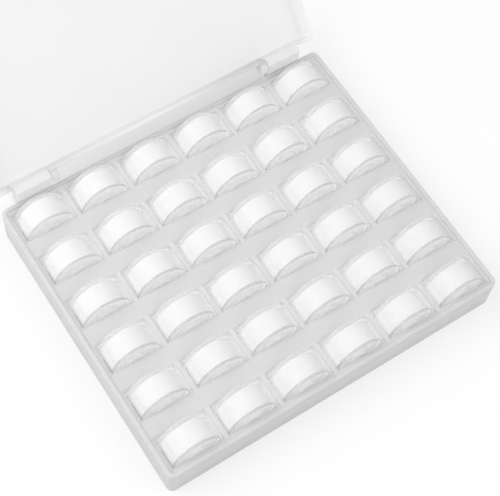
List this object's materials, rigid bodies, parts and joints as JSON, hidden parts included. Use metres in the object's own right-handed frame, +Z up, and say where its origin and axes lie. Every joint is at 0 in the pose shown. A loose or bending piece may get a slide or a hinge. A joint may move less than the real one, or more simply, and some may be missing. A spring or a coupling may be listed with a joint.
{
  "type": "bobbin box",
  "caption": "Frosted plastic sewing bobbin box with a hinged shallow lid and rows of slots holding clear bobbins wound with white thread.",
  "frame": {"origin": "middle of the underside of the base", "axes": "+X along the hinge to the right, +Y to the hinge side, +Z up"},
  "size_m": [0.1456, 0.2208, 0.1082],
  "materials": {
    "frosted_plastic": "frosted translucent polypropylene",
    "wound_bobbin": "clear spool full of white thread"
  },
  "bodies": {
    "base": {"base_shell": "frosted_plastic", "row_bar_0": "frosted_plastic", "row_bar_1": "frosted_plastic", "row_bar_2": "frosted_plastic", "row_bar_3": "frosted_plastic", "row_bar_4": "frosted_plastic", "row_bar_5": "frosted_plastic", "row_bar_6": "frosted_plastic", "row_partitions_0": "frosted_plastic", "row_partitions_1": "frosted_plastic", "row_partitions_2": "frosted_plastic", "row_partitions_3": "frosted_plastic", "row_partitions_4": "frosted_plastic", "row_partitions_5": "frosted_plastic", "hinge_lug_left": "frosted_plastic", "hinge_lug_right": "frosted_plastic"},
    "lid": {"lid_shell": "frosted_plastic", "hinge_pin_left": "frosted_plastic", "hinge_pin_right": "frosted_plastic"},
    "bobbin_0_0": {"bobbin_0_0": "wound_bobbin"},
    "bobbin_0_1": {"bobbin_0_1": "wound_bobbin"},
    "bobbin_0_2": {"bobbin_0_2": "wound_bobbin"},
    "bobbin_0_3": {"bobbin_0_3": "wound_bobbin"},
    "bobbin_0_4": {"bobbin_0_4": "wound_bobbin"},
    "bobbin_0_5": {"bobbin_0_5": "wound_bobbin"},
    "bobbin_1_0": {"bobbin_1_0": "wound_bobbin"},
    "bobbin_1_1": {"bobbin_1_1": "wound_bobbin"},
    "bobbin_1_2": {"bobbin_1_2": "wound_bobbin"},
    "bobbin_1_3": {"bobbin_1_3": "wound_bobbin"},
    "bobbin_1_4": {"bobbin_1_4": "wound_bobbin"},
    "bobbin_1_5": {"bobbin_1_5": "wound_bobbin"},
    "bobbin_2_0": {"bobbin_2_0": "wound_bobbin"},
    "bobbin_2_1": {"bobbin_2_1": "wound_bobbin"},
    "bobbin_2_2": {"bobbin_2_2": "wound_bobbin"},
    "bobbin_2_3": {"bobbin_2_3": "wound_bobbin"},
    "bobbin_2_4": {"bobbin_2_4": "wound_bobbin"},
    "bobbin_2_5": {"bobbin_2_5": "wound_bobbin"},
    "bobbin_3_0": {"bobbin_3_0": "wound_bobbin"},
    "bobbin_3_1": {"bobbin_3_1": "wound_bobbin"},
    "bobbin_3_2": {"bobbin_3_2": "wound_bobbin"},
    "bobbin_3_3": {"bobbin_3_3": "wound_bobbin"},
    "bobbin_3_4": {"bobbin_3_4": "wound_bobbin"},
    "bobbin_3_5": {"bobbin_3_5": "wound_bobbin"},
    "bobbin_4_0": {"bobbin_4_0": "wound_bobbin"},
    "bobbin_4_1": {"bobbin_4_1": "wound_bobbin"},
    "bobbin_4_2": {"bobbin_4_2": "wound_bobbin"},
    "bobbin_4_3": {"bobbin_4_3": "wound_bobbin"},
    "bobbin_4_4": {"bobbin_4_4": "wound_bobbin"},
    "bobbin_4_5": {"bobbin_4_5": "wound_bobbin"},
    "bobbin_5_0": {"bobbin_5_0": "wound_bobbin"},
    "bobbin_5_1": {"bobbin_5_1": "wound_bobbin"},
    "bobbin_5_2": {"bobbin_5_2": "wound_bobbin"},
    "bobbin_5_3": {"bobbin_5_3": "wound_bobbin"},
    "bobbin_5_4": {"bobbin_5_4": "wound_bobbin"},
    "bobbin_5_5": {"bobbin_5_5": "wound_bobbin"}
  },
  "joints": [
    {"name": "lid_hinge", "type": "hinge", "parent": "base", "child": "lid", "pos_m": [0, 0.064, 0.0201], "axis": [-1, 0, 0], "range_deg": [-137, 0]},
    {"name": "bobbin_0_0_lift", "type": "slide", "parent": "base", "child": "bobbin_0_0", "axis": [0, 0, 1], "range_m": [0, 0.025]},
    {"name": "bobbin_0_1_lift", "type": "slide", "parent": "base", "child": "bobbin_0_1", "axis": [0, 0, 1], "range_m": [0, 0.025]},
    {"name": "bobbin_0_2_lift", "type": "slide", "parent": "base", "child": "bobbin_0_2", "axis": [0, 0, 1], "range_m": [0, 0.025]},
    {"name": "bobbin_0_3_lift", "type": "slide", "parent": "base", "child": "bobbin_0_3", "axis": [0, 0, 1], "range_m": [0, 0.025]},
    {"name": "bobbin_0_4_lift", "type": "slide", "parent": "base", "child": "bobbin_0_4", "axis": [0, 0, 1], "range_m": [0, 0.025]},
    {"name": "bobbin_0_5_lift", "type": "slide", "parent": "base", "child": "bobbin_0_5", "axis": [0, 0, 1], "range_m": [0, 0.025]},
    {"name": "bobbin_1_0_lift", "type": "slide", "parent": "base", "child": "bobbin_1_0", "axis": [0, 0, 1], "range_m": [0, 0.025]},
    {"name": "bobbin_1_1_lift", "type": "slide", "parent": "base", "child": "bobbin_1_1", "axis": [0, 0, 1], "range_m": [0, 0.025]},
    {"name": "bobbin_1_2_lift", "type": "slide", "parent": "base", "child": "bobbin_1_2", "axis": [0, 0, 1], "range_m": [0, 0.025]},
    {"name": "bobbin_1_3_lift", "type": "slide", "parent": "base", "child": "bobbin_1_3", "axis": [0, 0, 1], "range_m": [0, 0.025]},
    {"name": "bobbin_1_4_lift", "type": "slide", "parent": "base", "child": "bobbin_1_4", "axis": [0, 0, 1], "range_m": [0, 0.025]},
    {"name": "bobbin_1_5_lift", "type": "slide", "parent": "base", "child": "bobbin_1_5", "axis": [0, 0, 1], "range_m": [0, 0.025]},
    {"name": "bobbin_2_0_lift", "type": "slide", "parent": "base", "child": "bobbin_2_0", "axis": [0, 0, 1], "range_m": [0, 0.025]},
    {"name": "bobbin_2_1_lift", "type": "slide", "parent": "base", "child": "bobbin_2_1", "axis": [0, 0, 1], "range_m": [0, 0.025]},
    {"name": "bobbin_2_2_lift", "type": "slide", "parent": "base", "child": "bobbin_2_2", "axis": [0, 0, 1], "range_m": [0, 0.025]},
    {"name": "bobbin_2_3_lift", "type": "slide", "parent": "base", "child": "bobbin_2_3", "axis": [0, 0, 1], "range_m": [0, 0.025]},
    {"name": "bobbin_2_4_lift", "type": "slide", "parent": "base", "child": "bobbin_2_4", "axis": [0, 0, 1], "range_m": [0, 0.025]},
    {"name": "bobbin_2_5_lift", "type": "slide", "parent": "base", "child": "bobbin_2_5", "axis": [0, 0, 1], "range_m": [0, 0.025]},
    {"name": "bobbin_3_0_lift", "type": "slide", "parent": "base", "child": "bobbin_3_0", "axis": [0, 0, 1], "range_m": [0, 0.025]},
    {"name": "bobbin_3_1_lift", "type": "slide", "parent": "base", "child": "bobbin_3_1", "axis": [0, 0, 1], "range_m": [0, 0.025]},
    {"name": "bobbin_3_2_lift", "type": "slide", "parent": "base", "child": "bobbin_3_2", "axis": [0, 0, 1], "range_m": [0, 0.025]},
    {"name": "bobbin_3_3_lift", "type": "slide", "parent": "base", "child": "bobbin_3_3", "axis": [0, 0, 1], "range_m": [0, 0.025]},
    {"name": "bobbin_3_4_lift", "type": "slide", "parent": "base", "child": "bobbin_3_4", "axis": [0, 0, 1], "range_m": [0, 0.025]},
    {"name": "bobbin_3_5_lift", "type": "slide", "parent": "base", "child": "bobbin_3_5", "axis": [0, 0, 1], "range_m": [0, 0.025]},
    {"name": "bobbin_4_0_lift", "type": "slide", "parent": "base", "child": "bobbin_4_0", "axis": [0, 0, 1], "range_m": [0, 0.025]},
    {"name": "bobbin_4_1_lift", "type": "slide", "parent": "base", "child": "bobbin_4_1", "axis": [0, 0, 1], "range_m": [0, 0.025]},
    {"name": "bobbin_4_2_lift", "type": "slide", "parent": "base", "child": "bobbin_4_2", "axis": [0, 0, 1], "range_m": [0, 0.025]},
    {"name": "bobbin_4_3_lift", "type": "slide", "parent": "base", "child": "bobbin_4_3", "axis": [0, 0, 1], "range_m": [0, 0.025]},
    {"name": "bobbin_4_4_lift", "type": "slide", "parent": "base", "child": "bobbin_4_4", "axis": [0, 0, 1], "range_m": [0, 0.025]},
    {"name": "bobbin_4_5_lift", "type": "slide", "parent": "base", "child": "bobbin_4_5", "axis": [0, 0, 1], "range_m": [0, 0.025]},
    {"name": "bobbin_5_0_lift", "type": "slide", "parent": "base", "child": "bobbin_5_0", "axis": [0, 0, 1], "range_m": [0, 0.025]},
    {"name": "bobbin_5_1_lift", "type": "slide", "parent": "base", "child": "bobbin_5_1", "axis": [0, 0, 1], "range_m": [0, 0.025]},
    {"name": "bobbin_5_2_lift", "type": "slide", "parent": "base", "child": "bobbin_5_2", "axis": [0, 0, 1], "range_m": [0, 0.025]},
    {"name": "bobbin_5_3_lift", "type": "slide", "parent": "base", "child": "bobbin_5_3", "axis": [0, 0, 1], "range_m": [0, 0.025]},
    {"name": "bobbin_5_4_lift", "type": "slide", "parent": "base", "child": "bobbin_5_4", "axis": [0, 0, 1], "range_m": [0, 0.025]},
    {"name": "bobbin_5_5_lift", "type": "slide", "parent": "base", "child": "bobbin_5_5", "axis": [0, 0, 1], "range_m": [0, 0.025]}
  ]
}
